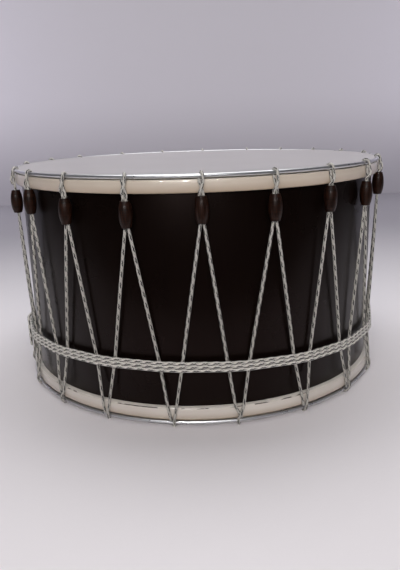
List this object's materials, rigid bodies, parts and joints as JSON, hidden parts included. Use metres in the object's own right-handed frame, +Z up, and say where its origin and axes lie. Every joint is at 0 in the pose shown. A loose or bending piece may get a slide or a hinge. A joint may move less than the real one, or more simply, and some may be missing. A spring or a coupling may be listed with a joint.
{
  "type": "davul",
  "caption": "Two-headed bass drum with a wooden shell, hoops and metal head rings, tensioned by one zigzag cord with sliding wooden beads and a tied waist cord.",
  "frame": {"origin": "middle of the floor under the drum, standing on its lower ring's cord turns", "axes": "+Z up along the drum's axis, -Y towards the viewer"},
  "size_m": [0.5402, 0.542, 0.3062],
  "materials": {
    "dark_lacquer": "satin dark brown lacquer",
    "ivory_lacquer": "glossy ivory lacquer",
    "aluminium_rod": "bright drawn rod",
    "head_film": "smooth frosted film",
    "braided_cord": "white braid with dark flecks",
    "waist_cord": "white braid with dark flecks",
    "bead_wood": "turned, dark stained and oiled"
  },
  "bodies": {
    "drum": {"shell": "dark_lacquer", "upper_hoop": "ivory_lacquer", "lower_hoop": "ivory_lacquer", "upper_ring": "aluminium_rod", "lower_ring": "aluminium_rod", "upper_head": "head_film", "lower_head": "head_film", "lacing_cord": "braided_cord", "waist_cord": "waist_cord"},
    "bead_01": {"bead_01": "bead_wood"},
    "bead_02": {"bead_02": "bead_wood"},
    "bead_03": {"bead_03": "bead_wood"},
    "bead_04": {"bead_04": "bead_wood"},
    "bead_05": {"bead_05": "bead_wood"},
    "bead_06": {"bead_06": "bead_wood"},
    "bead_07": {"bead_07": "bead_wood"},
    "bead_08": {"bead_08": "bead_wood"},
    "bead_09": {"bead_09": "bead_wood"},
    "bead_10": {"bead_10": "bead_wood"},
    "bead_11": {"bead_11": "bead_wood"},
    "bead_12": {"bead_12": "bead_wood"},
    "bead_13": {"bead_13": "bead_wood"},
    "bead_14": {"bead_14": "bead_wood"},
    "bead_15": {"bead_15": "bead_wood"},
    "bead_16": {"bead_16": "bead_wood"},
    "bead_17": {"bead_17": "bead_wood"},
    "bead_18": {"bead_18": "bead_wood"},
    "bead_19": {"bead_19": "bead_wood"},
    "bead_20": {"bead_20": "bead_wood"}
  },
  "joints": [
    {"name": "bead_01_slide", "type": "slide", "parent": "drum", "child": "bead_01", "axis": [0, 0, -1], "range_m": [-0.003, 0.06], "deforming": ["lacing_cord"]},
    {"name": "bead_02_slide", "type": "slide", "parent": "drum", "child": "bead_02", "axis": [0, 0, -1], "range_m": [-0.007, 0.06], "deforming": ["lacing_cord"]},
    {"name": "bead_03_slide", "type": "slide", "parent": "drum", "child": "bead_03", "axis": [0, 0, -1], "range_m": [0, 0.06], "deforming": ["lacing_cord"]},
    {"name": "bead_04_slide", "type": "slide", "parent": "drum", "child": "bead_04", "axis": [0, 0, -1], "range_m": [-0.006, 0.06], "deforming": ["lacing_cord"]},
    {"name": "bead_05_slide", "type": "slide", "parent": "drum", "child": "bead_05", "axis": [0, 0, -1], "range_m": [-0.0065, 0.06], "deforming": ["lacing_cord"]},
    {"name": "bead_06_slide", "type": "slide", "parent": "drum", "child": "bead_06", "axis": [0, 0, -1], "range_m": [-0.002, 0.06], "deforming": ["lacing_cord"]},
    {"name": "bead_07_slide", "type": "slide", "parent": "drum", "child": "bead_07", "axis": [0, 0, -1], "range_m": [-0.004, 0.06], "deforming": ["lacing_cord"]},
    {"name": "bead_08_slide", "type": "slide", "parent": "drum", "child": "bead_08", "axis": [0, 0, -1], "range_m": [-0.001, 0.06], "deforming": ["lacing_cord"]},
    {"name": "bead_09_slide", "type": "slide", "parent": "drum", "child": "bead_09", "axis": [0, 0, -1], "range_m": [-0.0035, 0.06], "deforming": ["lacing_cord"]},
    {"name": "bead_10_slide", "type": "slide", "parent": "drum", "child": "bead_10", "axis": [0, 0, -1], "range_m": [-0.0005, 0.06], "deforming": ["lacing_cord"]},
    {"name": "bead_11_slide", "type": "slide", "parent": "drum", "child": "bead_11", "axis": [0, 0, -1], "range_m": [-0.0015, 0.06], "deforming": ["lacing_cord"]},
    {"name": "bead_12_slide", "type": "slide", "parent": "drum", "child": "bead_12", "axis": [0, 0, -1], "range_m": [-0.0045, 0.06], "deforming": ["lacing_cord"]},
    {"name": "bead_13_slide", "type": "slide", "parent": "drum", "child": "bead_13", "axis": [0, 0, -1], "range_m": [-0.003, 0.06], "deforming": ["lacing_cord"]},
    {"name": "bead_14_slide", "type": "slide", "parent": "drum", "child": "bead_14", "axis": [0, 0, -1], "range_m": [-0.001, 0.06], "deforming": ["lacing_cord"]},
    {"name": "bead_15_slide", "type": "slide", "parent": "drum", "child": "bead_15", "axis": [0, 0, -1], "range_m": [-0.0055, 0.06], "deforming": ["lacing_cord"]},
    {"name": "bead_16_slide", "type": "slide", "parent": "drum", "child": "bead_16", "axis": [0, 0, -1], "range_m": [-0.0015, 0.06], "deforming": ["lacing_cord"]},
    {"name": "bead_17_slide", "type": "slide", "parent": "drum", "child": "bead_17", "axis": [0, 0, -1], "range_m": [-0.0035, 0.06], "deforming": ["lacing_cord"]},
    {"name": "bead_18_slide", "type": "slide", "parent": "drum", "child": "bead_18", "axis": [0, 0, -1], "range_m": [-0.0025, 0.06], "deforming": ["lacing_cord"]},
    {"name": "bead_19_slide", "type": "slide", "parent": "drum", "child": "bead_19", "axis": [0, 0, -1], "range_m": [-0.005, 0.06], "deforming": ["lacing_cord"]},
    {"name": "bead_20_slide", "type": "slide", "parent": "drum", "child": "bead_20", "axis": [0, 0, -1], "range_m": [-0.002, 0.06], "deforming": ["lacing_cord"]}
  ]
}
